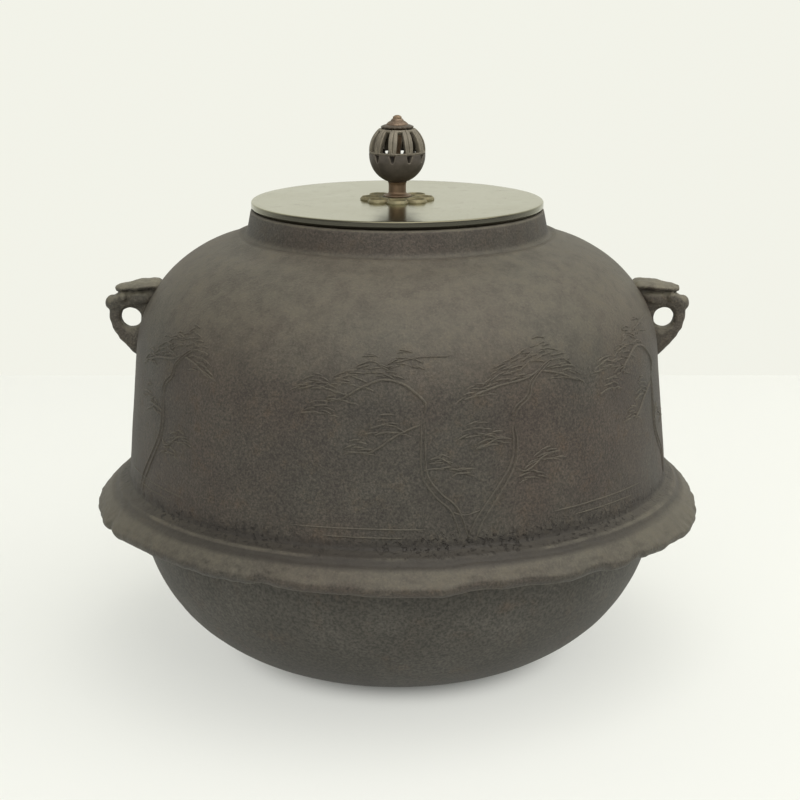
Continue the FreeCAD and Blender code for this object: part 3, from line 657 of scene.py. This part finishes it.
def one_skin(name, bm):
    """Forms that reach into each other, made into one rough skin."""
    rough = bpy.data.meshes.new(f"{name}_rough")
    bm.to_mesh(rough)
    bm.free()
    block = in_scene(f"{name}_rough", rough)
    remesh = block.modifiers.new("one_skin", "REMESH")
    remesh.mode = "VOXEL"
    remesh.voxel_size = lug_voxel * MM
    ease = block.modifiers.new("eased", "SMOOTH")
    ease.factor = 0.5
    ease.iterations = 6
    bpy.context.view_layer.update()
    shown = block.evaluated_get(bpy.context.evaluated_depsgraph_get())
    mesh = bpy.data.meshes.new_from_object(shown)
    bpy.data.objects.remove(block)
    bpy.data.meshes.remove(rough)
    for vertex in mesh.vertices:
        vertex.co += vertex.normal * uneven(vertex.co / MM, lug_waves) * MM
    mesh.name = name
    mesh.shade_smooth()
    return in_scene(name, mesh)


def crest_stations():
    """Stations of the scalloped crest, which rises out of the shoulder and narrows to its tip."""
    stations = []
    for step in range(crest_steps + 1):
        share = step / crest_steps
        sunk = 3.0 * max(0.0, 1 - share / 0.22) ** 2
        rise = crest_rise - 0.8 * share - 1.7 * share ** 2 - sunk
        scallop = math.sin(share * 5.0 * math.pi)
        taper = math.sqrt(max(0.12, 1 - share ** 4)) * (0.7 + 0.3 * min(1.0, share / 0.25))
        thick = (crest_half_thick + 0.2 * scallop) * (1 - 0.45 * share ** 2)
        wide = (crest_half_wide + 0.5 * scallop) * taper
        stations.append((crest_root + crest_length * share, rise, thick, wide))
    return stations


def mask_lug(name, side):
    """A lug, from an ear, a crest, a snout, two eyes and two cheeks; side -1 mirrors it."""
    bm = bmesh.new()
    pierced_ear(bm)
    swelling(bm, crest_stations(), sides=28)
    boss(bm, *snout)
    for half in (-1, 1):
        boss(bm, *eye, half)
        boss(bm, *cheek, half)
    for vertex in bm.verts:
        vertex.co.x *= side
    bmesh.ops.recalc_face_normals(bm, faces=bm.faces)
    return one_skin(name, bm)


lug_iron = iron_finish("lug_iron", lug_skin, lug_bloom, iron_rust, pitted=False)
for node, side in (("left_lug", -1), ("right_lug", 1)):
    lug = mask_lug(f"mask_{node}", side)
    lug.data.materials.append(lug_iron)
    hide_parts(node)
    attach(lug, "kettle")

# Bottom pan: a newer bowl of cast iron, made to close the kettle after the old bottom was broken
# away, with a flat to stand on. Fire and water have left it greyer, with faint runs of rust.
pan_flat, pan_rim = 43.2, 114.6
pan_bend, pan_wall = 71.4, 4.5
pan_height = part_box("bottom_pan")[1][2] / MM
pan_inside = pan_rim - pan_wall
pan_waves = ((0.35, 30), (0.12, 7))
near_axis = 0.05
pan_dark, pan_grey = (0.051, 0.0467, 0.0387, 1.0), (0.066, 0.061, 0.0515, 1.0)
pan_run, pan_rust = (0.062, 0.051, 0.039, 1.0), (0.075, 0.052, 0.034, 1.0)


def pan_shape(radius, height, angle, row):
    """The unevenness of the bowl, which dies out at its rim and its flat."""
    fade = held((pan_rim - 1.5 - radius) / 12) * held(height / 12)
    return radius + uneven(Vector(polar(radius, angle, height)), pan_waves) * fade, height


pan_section = section(
    (near_axis, 0, 4), (pan_flat, 0, 40, -pan_bend), (pan_rim, pan_bend, 4), (pan_rim, pan_height, 2),
    (pan_inside, pan_height, 4), (pan_inside, pan_bend, 24, pan_bend - pan_wall),
    (pan_flat, pan_wall, 6), (near_axis, pan_wall, 1),
)
bottom_pan = lathe("bottom_pan_bowl", pan_section, 420, pan_shape)
pan_iron, coordinates = new_finish("pan_iron_skin")
soot = coordinates.grain(26, 4.0).between(0.4, 0.7)
stretch = {"Vector": coordinates, "Scale": (1, 1, 6)}
run_space = coordinates.node("ShaderNodeMapping", {"vector_type": "TEXTURE"}, stretch)
runs = run_space.grain(9, 4.0, 0.6).between(0.52, 0.72)
sand = coordinates.grain(1.2, 3.0, 0.6)
rust = coordinates.grain(16, 5.0, 0.65).between(0.56, 0.74)
colour = soot.mix(pan_dark, pan_grey)
colour = (runs * 0.5).mix(colour, pan_run)
colour = (rust * 0.55).mix(colour, pan_rust)
colour = colour.times(sand.between(0.28, 0.72).mix(grey(0.5), grey(1.5)))
relief = sand * 0.6 + coordinates.grain(5, 4.0) * 0.8
roughness = 0.54 + sand * 0.18
surface(pan_iron, coordinates, colour, roughness, relief, depth=0.24, Specular_IOR_Level=0.42)
bottom_pan.data.materials.append(pan_iron)
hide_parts("bottom_pan")
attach(bottom_pan, "kettle")

# Lacquer putty: raw lacquer mixed with iron powder, pressed into the joint between pan and casting
# and under the sounding plates, where it sets hard and nearly black.
putty, coordinates = new_finish("lacquer_putty")
lumps = coordinates.grain(3, 5.0, 0.6)
gloss = coordinates.grain(9, 3.0)
colour = lumps.between(0.35, 0.7).mix((0.016, 0.012, 0.01, 1.0), (0.036, 0.028, 0.022, 1.0))
surface(putty, coordinates, colour, 0.42 + gloss * 0.25, lumps + gloss, depth=0.35)


def refinish(node, material):
    """Gives a finish to a node of the frame that is shown as it is."""
    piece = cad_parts[node]
    piece.data.materials.clear()
    piece.data.materials.append(material)
    return piece


for node in ("pan_joint_lacquer", "plate_lacquer"):
    refinish(node, putty)

# Sounding plates: three thin slips of iron on the floor of the pan that make the kettle sing as
# the water boils. They are rusty from use, with hammered faces and worn corners.
plate_iron, coordinates = new_finish("plate_iron_rust")
scale = coordinates.grain(5, 6.0, 0.65)
colour = scale.between(0.35, 0.65).mix((0.05, 0.036, 0.027, 1.0), (0.13, 0.062, 0.03, 1.0))
colour = coordinates.grain(1.3, 3.0).between(0.58, 0.72).mix(colour, (0.03, 0.024, 0.02, 1.0))
surface(plate_iron, coordinates, colour, 0.6 + scale * 0.25, scale, depth=0.5, Metallic=0.2)


def ease_edges(piece, name, width, segments):
    """Rounds the edges of a piece."""
    eased = piece.modifiers.new(name, "BEVEL")
    eased.width = width * MM
    eased.segments = segments


for number in (1, 2, 3):
    plate = refinish(f"sounding_plate_{number}", plate_iron)
    ease_edges(plate, "worn_corners", 0.5, 3)

# Lid: a flat disc of cast bronze, turned true and patinated olive brown, which lies on the rim and
# is kept there by a lip inside the mouth. It is rubbed smooth, so that it mirrors the room softly.
lid_low, lid_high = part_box("lid")
lid_top, lid_radius = lid_high[2] / MM, lid_high[0] / MM
lid_under = rim_height
lid_edge = 0.6
lid_undercut = 1.3
lip_outside, lip_inside, lip_foot = 56.3, 53.7, lid_low[2] / MM
lip_taper, lip_edge = 0.6, 0.4
lid_bore = 2.55
lid_waves = ((0.05, 22),)
lid_olive, lid_pale = (0.15, 0.138, 0.082, 1.0), (0.19, 0.176, 0.112, 1.0)
lid_tarnish, lid_edge_dark = (0.12, 0.1, 0.055, 1.0), (0.06, 0.057, 0.043, 1.0)


def lid_shape(radius, height, angle, row):
    """The slight waves of the lid's face."""
    if height < lid_under + 1:
        return radius, height
    return radius, height + uneven(Vector(polar(radius, angle)), lid_waves)


lid_section = section(
    (lid_bore, lid_top, 30), (lid_radius - lid_edge, lid_top, 5, lid_edge),
    (lid_radius, lid_top - lid_edge, 4), (lid_radius, lid_under + lid_undercut, 3),
    (lid_radius - lid_undercut, lid_under, 6), (lip_outside, lid_under, 4),
    (lip_outside - lip_taper, lip_foot + lip_edge, 2), (lip_outside - lip_taper - lip_edge, lip_foot, 3),
    (lip_inside, lip_foot, 4), (lip_inside, lid_under, 20), (lid_bore, lid_under, 2),
)
lid = lathe("bronze_lid", lid_section, 256, lid_shape, sharp=50)
lid_bronze, coordinates = new_finish("lid_bronze_patina")
cloud = coordinates.grain(22, 4.0, 0.6).between(0.35, 0.7)
tarnish = coordinates.grain(5, 5.0, 0.62).between(0.55, 0.78)
brush = coordinates.grain(0.5, 2.0)
x, y = coordinates.part("X"), coordinates.part("Y")
from_axis = (x * x + y * y).math("POWER", 0.5)
ring_marks = {"Vector": from_axis, "Scale": 900.0, "Distortion": 0.6}
rings = from_axis.node("ShaderNodeTexWave", {"bands_direction": "X"}, ring_marks)
colour = cloud.mix(lid_olive, lid_pale)
colour = (tarnish * 0.5).mix(colour, lid_tarnish)
edge_shade = coordinates.part("Z").between((lid_top - 0.1) * MM, (lid_top - 0.5) * MM)
colour = (edge_shade * 0.9).mix(colour, lid_edge_dark)
roughness = 0.2 + cloud * 0.05 + tarnish * 0.08
surface(lid_bronze, coordinates, colour, roughness, brush * 0.5 + rings * 0.15, depth=0.012,
        Metallic=1.0, Specular_Tint=(1.0, 0.995, 0.86, 1.0), Coat_Weight=0.6, Coat_Roughness=0.2)
lid.data.materials.append(lid_bronze)
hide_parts("lid")
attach(lid, "lid")

# Flower washer: a thin cast rosette of eight petals laid on the lid under the knob. Each petal has
# a raised rim and a sunk eye, and the verdigris in its hollows has been rubbed off its rims, which
# are made paler from that wear and a painted highlight.
rosette_low, rosette_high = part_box("knob_rosette")
rosette_foot, rosette_top = rosette_low[2] / MM, rosette_high[2] / MM
petals, petal_middle, petal_radius, petal_eye = 8, 11.3, 4.7, 1.3
# raised rims of each petal, round its eye, and of the flower's middle: radius, height, half width
petal_rim, middle_rim = (petal_radius - 0.75, 1.0, 0.42), (6.9, 1.0, 0.6)
rosette_rings, rosette_columns = 34, 256


def petal_turn(angle):
    """Angle from the middle of the nearest petal."""
    return ((angle * petals / TURN + 0.5) % 1 - 0.5) * TURN / petals


def petal_edge(angle):
    """Radius of the flower's outline at an angle."""
    along, across, _ = polar(petal_middle, petal_turn(angle))
    return along + math.sqrt(max(0.0, petal_radius ** 2 - across ** 2))


def petal_height(radius, angle):
    """Rise of the flower's face over its foot."""
    spot = Vector(polar(radius, petal_turn(angle)))
    from_eye = (spot - Vector((petal_middle, 0, 0))).length
    raised = max(bell(from_eye, *petal_rim), bell(radius, *middle_rim))
    full = 0.5 - 0.1 * radius / (petal_middle + petal_radius) + 0.5 * raised
    full -= 0.3 * max(0.0, 1 - from_eye / (1.6 * petal_eye))
    rise = (rosette_top - rosette_foot) * min(1.0, max(0.1, full))
    return rise * (1 if radius < petal_edge(angle) - 0.4 else 0.75)


vertices = []
for ring in range(rosette_rings):
    for column in range(rosette_columns):
        angle = TURN * column / rosette_columns
        radius = lid_bore + (petal_edge(angle) - lid_bore) * ring / (rosette_rings - 1)
        vertices.append(polar(radius, angle, rosette_foot + petal_height(radius, angle)))
for ring in (rosette_rings - 1, 0):
    for column in range(rosette_columns):
        x, y, _ = vertices[ring * rosette_columns + column]
        vertices.append((x, y, rosette_foot))
rosette_faces = ring_faces(rosette_rings + 2, rosette_columns)
rosette = new_piece("knob_flower_washer", vertices, rosette_faces, sharp=60)


def knob_finish(name, dark, worn, roughness, metallic, green=0.0, foot=None):
    """Patinated knob metal: dark in the hollows, paler on the edges from rubbing and a painted
    highlight, with a share of verdigris, and with a foot of another tone up to a height."""
    material, coordinates = new_finish(name)
    edges = coordinates.node("ShaderNodeNewGeometry", output="Pointiness").between(0.495, 0.54)
    cloud = coordinates.grain(4, 4.0, 0.6)
    specks = coordinates.grain(0.6, 3.0)
    colour = cloud.between(0.35, 0.7).mix(dark, scaled(dark, 1.5, 1.5, 1.5))
    if green:
        verdigris = coordinates.grain(2.2, 4.0).between(0.5, 0.68) * green
        colour = verdigris.mix(colour, (0.05, 0.075, 0.05, 1.0))
    # edges paler: rubbed wear and a painted highlight
    colour = (edges * (0.4 + cloud * 0.8)).mix(colour, worn)
    if foot:
        foot_top, foot_tone = foot
        low = coordinates.part("Z").between((foot_top + 0.1) * MM, (foot_top - 0.1) * MM)
        colour = (low * 0.8).mix(colour, foot_tone)
    dullness = roughness + cloud * 0.18 + specks * 0.08
    surface(material, coordinates, colour, dullness, cloud + specks * 0.4, depth=0.06, Metallic=metallic)
    return material


rosette_dark = (0.15, 0.128, 0.07, 1.0)
rosette_rub_and_highlight = (0.235, 0.21, 0.118, 1.0)
rosette_bronze = knob_finish("rosette_bronze", rosette_dark, rosette_rub_and_highlight, 0.42, 0.45, green=0.7)
rosette.data.materials.append(rosette_bronze)
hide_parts("knob_rosette")
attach(rosette, "lid")

# Stem: one turned copper piece, with its tail peened under the lid, a waisted neck on the flower,
# and a thin pin above that strings the ball and the cap and is riveted over at the top.
stem_low, stem_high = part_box("knob_stem")
stem_tail, rivet_top = stem_low[2] / MM, stem_high[2] / MM
ball_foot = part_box("knob_ball_lower")[0][2] / MM
cap_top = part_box("knob_cap")[1][2] / MM
shank_radius, pin_radius, pin_swell, rivet_radius = 2.5, 1.5, 3.0, 1.9
tail_radius, tail_height = 4.0, 1.6
flange_radius, neck_radius, neck_top_radius = 5.9, 3.8, 4.1
stem_axis = 0.02
stem_section = section(
    (stem_axis, stem_tail, 2), (tail_radius - 0.8, stem_tail, 4, -1.7),
    (tail_radius, stem_tail + tail_height, 2), (shank_radius, stem_tail + tail_height, 4),
    (shank_radius, rosette_top, 2), (flange_radius - 0.1, rosette_top, 3, -0.3),
    (flange_radius, rosette_top + 0.45, 7, 2.6), (neck_radius, rosette_top + 1.6, 8, 40.0),
    (neck_radius - 0.05, ball_foot - 1.2, 4, 3.0), (neck_top_radius, ball_foot - 0.2, 2),
    (pin_radius, ball_foot, 8), (pin_radius, ball_foot + 14, 6), (pin_swell, cap_top - 4.7, 2),
    (pin_swell, cap_top - 3.9, 2), (pin_radius, cap_top - 3.8, 3), (pin_radius, cap_top, 2),
    (rivet_radius, cap_top, 2), (rivet_radius, cap_top + 0.8, 5, -2.6), (stem_axis, rivet_top, 1),
)
stem = lathe("knob_stem_copper", stem_section, 72)
stem_copper = knob_finish("stem_copper", (0.152, 0.103, 0.063, 1.0), (0.27, 0.195, 0.13, 1.0), 0.36, 0.7)
stem.data.materials.append(stem_copper)
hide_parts("knob_stem")
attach(stem, "knob")

# Washer: a small disc cut from copper sheet, with filed edges. It lies under the lid, and the tail
# of the stem is peened over it, so that the knob is held but can turn.
washer = refinish("stem_washer", stem_copper)
ease_edges(washer, "filed_edge", 0.2, 2)

# Knob ball: two cast halves that meet in a narrow band round the middle. The upper half is a cage of
# ribs, each with a groove down it, between long slots; the lower is a cup with a port under each rib.
ball_radius, ball_wall, band_half = 12.1, 2.3, 1.0
ball_slots, slot_turn = 10, math.radians(7.7)
slot_low_half, slot_high_half = 2.15, 0.95
port_low_half, port_high_half = 0.3, 1.2
rib_groove, groove_half = 0.55, 0.06
level_slack = 0.01
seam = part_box("knob_ball_upper")[0][2] / MM
cap_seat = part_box("knob_cap")[0][2] / MM
lower_middle, upper_middle = seam - band_half, seam + band_half


def ball_half(name, levels, middle, gap, first_turn, groove):
    """A half of the ball: a skin of rows at levels, open where the gaps are, and then thickened. A gap
    is its low and high end, and its half width at each."""
    gap_low, gap_high, low_half, high_half = gap
    pitch = TURN / ball_slots
    gap_steps = (-1.0, -0.5, 0.0, 0.5)
    rib_steps = (0.0, 0.1, 0.25, 0.4, 0.46, 0.5, 0.54, 0.6, 0.75, 0.9)
    slot_columns = len(gap_steps) + len(rib_steps)
    columns = ball_slots * slot_columns
    vertices, faces = [], []
    for level in levels:
        radius = math.sqrt(max(0.01, ball_radius ** 2 - (level - middle) ** 2))
        if abs(level - seam) < band_half + level_slack:
            radius = ball_radius
        share = held((level - gap_low) / (gap_high - gap_low))
        half = (low_half + (high_half - low_half) * share) / radius
        for slot in range(ball_slots):
            turn = FRONT + first_turn + slot * pitch
            for step in gap_steps:
                vertices.append(polar(radius, turn + half * step, level))
            for step in rib_steps:
                cut = groove * max(0.0, 1 - abs(step - 0.5) / groove_half) if gap_low < level else 0
                vertices.append(polar(radius - cut, turn + half + (pitch - 2 * half) * step, level))
    for place, face in enumerate(ring_faces(len(levels), columns)[:-columns]):
        row, column = divmod(place, columns)
        inside = gap_low - level_slack < levels[row] and levels[row + 1] < gap_high + level_slack
        if not inside or column % slot_columns >= len(gap_steps):
            faces.append(face)
    piece = new_piece(name, vertices, faces, sharp=180)
    wall = piece.modifiers.new("wall", "SOLIDIFY")
    wall.thickness = ball_wall * MM
    wall.offset = -1
    soft = piece.modifiers.new("cast_softness", "SUBSURF")
    soft.levels = soft.render_levels = 2
    return piece


slot_low, slot_high = seam + 0.7, cap_seat - 1.0
upper_levels = [seam, seam + 0.2, seam + 0.5, slot_low, slot_low + 0.4]
upper_levels += [slot_low + (slot_high - slot_low) * share / 8 for share in range(1, 8)]
upper_levels += [slot_high - 0.3, slot_high, slot_high + 0.5, cap_seat]
upper_ball = ball_half(
    "knob_ball_cage", upper_levels, upper_middle,
    (slot_low, slot_high, slot_low_half, slot_high_half), slot_turn, rib_groove,
)
port_high = seam - 0.35
port_low = port_high - 3.1
lower_levels = [ball_foot + (port_low - ball_foot) * (share / 8) ** 1.3 for share in range(8)]
lower_levels += [port_low + rise for rise in (-0.3, 0.0, 0.3, 1.0, 1.7)]
lower_levels += [port_high - 0.3, port_high, seam - 0.15, seam]
lower_ball = ball_half(
    "knob_ball_cup", lower_levels, lower_middle,
    (port_low, port_high, port_low_half, port_high_half), slot_turn + TURN / ball_slots / 2, 0.0,
)
# the cage is given a lighter bronze than the cup: partly painted light on the upper half and painted
# shade on the lower
cage_bronze_lit = knob_finish("cage_bronze_lit", (0.13, 0.115, 0.089, 1.0), (0.215, 0.19, 0.142, 1.0), 0.4, 0.4)
cup_bronze_shaded = knob_finish("cup_bronze_shaded", (0.076, 0.066, 0.056, 1.0), (0.15, 0.13, 0.1, 1.0), 0.42, 0.4)
for ball, node, bronze in (
    (upper_ball, "knob_ball_upper", cage_bronze_lit), (lower_ball, "knob_ball_lower", cup_bronze_shaded),
):
    ball.data.materials.append(bronze)
    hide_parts(node)
    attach(ball, "knob")

# Cap: a stepped cone over the cage, with a scalloped foot, held by the riveted pin. It is rubbed
# to a warm copper brown.
cap_scallops, scallop_depth, scallop_height = 18, 0.07, 1.1
cap_bore, cap_radius, cap_top_radius = 1.6, 6.9, 2.3
cap_foot_top = 1.4


def cap_shape(radius, height, angle, row):
    """The scallops round the cap's foot."""
    foot = max(0.0, 1 - (height - cap_seat) / scallop_height)
    return radius * (1 - scallop_depth * foot * abs(math.sin(angle * cap_scallops / 2))), height


cap_section = section(
    (cap_bore, cap_seat, 4), (cap_radius - 0.2, cap_seat, 4, -0.5), (cap_radius, cap_seat + 0.8, 3),
    (6.2, cap_seat + 1.1, 5, -6.0), (4.7, cap_seat + 1.5, 2), (4.6, cap_seat + 1.8, 6, -5.0),
    (3.2, cap_seat + 2.9, 2), (2.9, cap_seat + 3.0, 4, -6.0), (cap_top_radius, cap_top, 3),
    (cap_bore, cap_top, 4),
)
cap = lathe("knob_cap_cone", cap_section, 144, cap_shape)
cap_copper = knob_finish(
    "cap_copper", (0.115, 0.082, 0.057, 1.0), (0.27, 0.2, 0.145, 1.0), 0.38, 0.6,
    foot=(cap_seat + cap_foot_top, (0.075, 0.064, 0.05, 1.0)),
)
cap.data.materials.append(cap_copper)
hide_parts("knob_cap")
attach(cap, "knob")

# Table and wall: a pale plain board, and an off-white wall that meets it behind the kettle. Their
# places are in metres. Both are seen evenly lit, save for a painted shadow round the kettle's foot,
# and are clear when seen from behind.
wall_distance, wall_rise = 0.503, 3
stage_half, stage_near = 3.0, -2.2
table_tint, table_glow = (0.76, 0.77, 0.735, 1.0), (0.92, 0.93, 0.88, 1.0)
wall_tint, wall_glow = (0.86, 0.86, 0.79, 1.0), (0.89, 0.893, 0.812, 1.0)


def backdrop(name, lower, upper, tint, glow, evened, foot=None):
    """A pale plain sheet between two level lines, each at a distance and a height. A share of glow evens
    out what is seen of it, and fades out towards the axis between the two radii of foot, in
    millimetres, which paints a darker ring of shadow round the kettle's foot over its cast shadow."""
    corners = [(-stage_half, *lower), (stage_half, *lower), (stage_half, *upper), (-stage_half, *upper)]
    mesh = bpy.data.meshes.new(name)
    mesh.from_pydata(corners, [], [(0, 1, 2, 3)])
    piece = in_scene(name, mesh)
    material, coordinates = new_finish(name)
    surface(material, coordinates, tint, 0.9, Specular_IOR_Level=0.1)
    tree = material.node_tree
    seen, mirrored, through = (
        coordinates.node("ShaderNodeLightPath", output=f"Is {ray} Ray")
        for ray in ("Camera", "Glossy", "Transmission")
    )
    share = seen.math("MAXIMUM", mirrored).math("MAXIMUM", through) * evened
    if foot:
        length = {"operation": "LENGTH"}
        from_axis = coordinates.node("ShaderNodeVectorMath", length, {0: coordinates}, output="Value")
        share = share * from_axis.between(foot[0] * MM, foot[1] * MM)
    bright = coordinates.node("ShaderNodeEmission", None, {"Color": glow, "Strength": 1.0})
    plain = Tone(tree, tree.nodes["Principled BSDF"].outputs[0])
    mixed = coordinates.node("ShaderNodeMixShader", None, {0: share, 1: plain, 2: bright})
    behind = coordinates.node("ShaderNodeNewGeometry", output="Backfacing")
    clear = coordinates.node("ShaderNodeBsdfTransparent")
    mixed = coordinates.node("ShaderNodeMixShader", None, {0: behind, 1: mixed, 2: clear})
    tree.links.new(mixed.socket, tree.nodes["Material Output"].inputs[0])
    mesh.materials.append(material)


backdrop("table_top", (stage_near, 0), (wall_distance, 0), table_tint, table_glow, 0.57, foot=(48, 80))
backdrop("room_wall", (wall_distance, 0), (wall_distance, wall_rise), wall_tint, wall_glow, 1.0)

# Light: an overcast room, with a broad soft lamp high over the kettle, in front of it and to its
# right, and a weaker window behind the camera.
world = bpy.data.worlds.new("room_light")
world.use_nodes = True
sky = world.node_tree.nodes["Background"]
sky.inputs["Color"].default_value = (1.0, 0.99, 0.95, 1.0)
sky.inputs["Strength"].default_value = 0.45
bpy.context.scene.world = world


def area_lamp(name, size, watts, tint, place, target):
    """A broad soft lamp at a place in metres, turned to a target."""
    lamp = bpy.data.lights.new(name, "AREA")
    lamp.shape = "RECTANGLE"
    lamp.size, lamp.size_y = size
    lamp.energy = watts
    lamp.color = tint
    stand = in_scene(name, lamp)
    stand.location = place
    stand.rotation_euler = (Vector(target) - stand.location).to_track_quat("-Z", "Y").to_euler()


area_lamp("ceiling_lamp", (2.6, 2.2), 37.0, (1.0, 0.98, 0.93), (0.62, -0.55, 1.72), (0, 0, 0.1))
area_lamp("window_fill", (1.6, 1.2), 9.0, (1.0, 0.99, 0.95), (-0.3, -1.6, 1.1), (0, -0.2, 0))

# Camera: a long lens that stands 0.77 m in front of the kettle's axis and 0.31 m over the table,
# tilted down so that the lid and the top of the skirt are seen.
camera_place = (0.00116, -0.7692, 0.3123)
camera_tilt = 14.59
camera = bpy.data.cameras.new("photograph")
camera.sensor_width = 36.0
camera.lens = 80.46
camera_stand = in_scene("photograph", camera)
camera_stand.location = camera_place
camera_stand.rotation_euler = (math.radians(90 - camera_tilt), 0, 0)
bpy.context.scene.camera = camera_stand
bpy.context.scene.view_settings.view_transform = "Standard"
